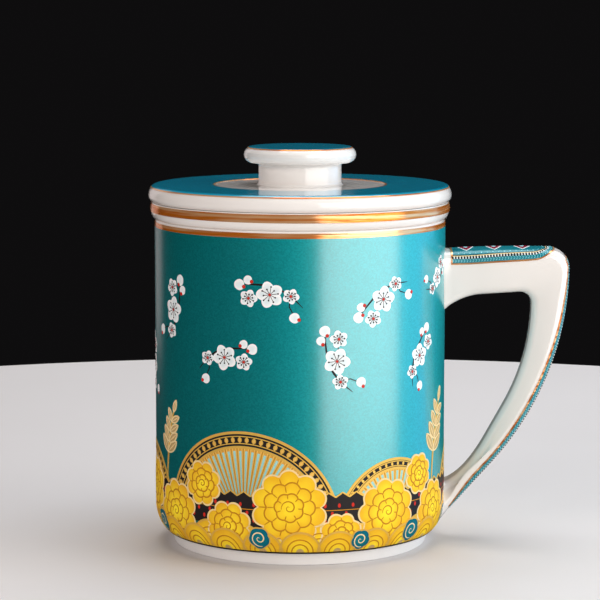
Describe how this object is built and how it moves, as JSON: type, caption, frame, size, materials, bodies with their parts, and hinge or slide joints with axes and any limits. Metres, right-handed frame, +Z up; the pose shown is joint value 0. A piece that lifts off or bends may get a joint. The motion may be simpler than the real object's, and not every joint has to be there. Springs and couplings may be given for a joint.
{
  "type": "lidded tea mug with infuser",
  "caption": "Cylindrical lidded tea mug with a D-shaped side handle, a lift-out perforated infuser hanging on its rim and a loose knobbed lid.",
  "frame": {"origin": "centre of the foot ring, on the surface that the mug stands on", "axes": "+Z up along the mug's axis, +X towards the handle"},
  "size_m": [0.1216, 0.0874, 0.1148],
  "materials": {
    "glazed_porcelain": "glossy clear glaze over warm white bone china",
    "bare_porcelain": "ground smooth and left unglazed",
    "pearl_teal_ground": "satin pearlescent teal",
    "lid_teal_glaze": "glossy deep teal",
    "enamel_band": "printed teal enamel border",
    "gold_lustre": "mirror-bright fired gold lustre",
    "dark_line": "thin dark enamel line"
  },
  "bodies": {
    "mug": {"mug_body": "glazed_porcelain", "foot_ring": "bare_porcelain", "handle": "glazed_porcelain", "mug_colour_ground": "pearl_teal_ground", "mug_gold_band": "gold_lustre", "heel_line": "dark_line", "arm_band": "enamel_band", "arm_gold_frame": "gold_lustre", "leg_band": "enamel_band", "leg_gold_frame": "gold_lustre"},
    "infuser": {"infuser_collar": "glazed_porcelain", "infuser_wall": "glazed_porcelain", "strainer_floor": "glazed_porcelain", "collar_gold_band": "gold_lustre"},
    "lid": {"lid_plate": "glazed_porcelain", "lid_locating_ring": "glazed_porcelain", "knob_stem": "glazed_porcelain", "knob_cap": "glazed_porcelain", "lid_colour_ground": "lid_teal_glaze", "lid_edge_gold_line": "gold_lustre", "lid_inner_gold_line": "gold_lustre", "knob_colour_disc": "lid_teal_glaze", "knob_gold_line": "gold_lustre"}
  },
  "joints": [
    {"name": "infuser_lift", "type": "slide", "parent": "mug", "child": "infuser", "axis": [0, 0, 1], "range_m": [0, 0.09]},
    {"name": "lid_lift", "type": "slide", "parent": "infuser", "child": "lid", "axis": [0, 0, 1], "range_m": [0, 0.05]}
  ]
}
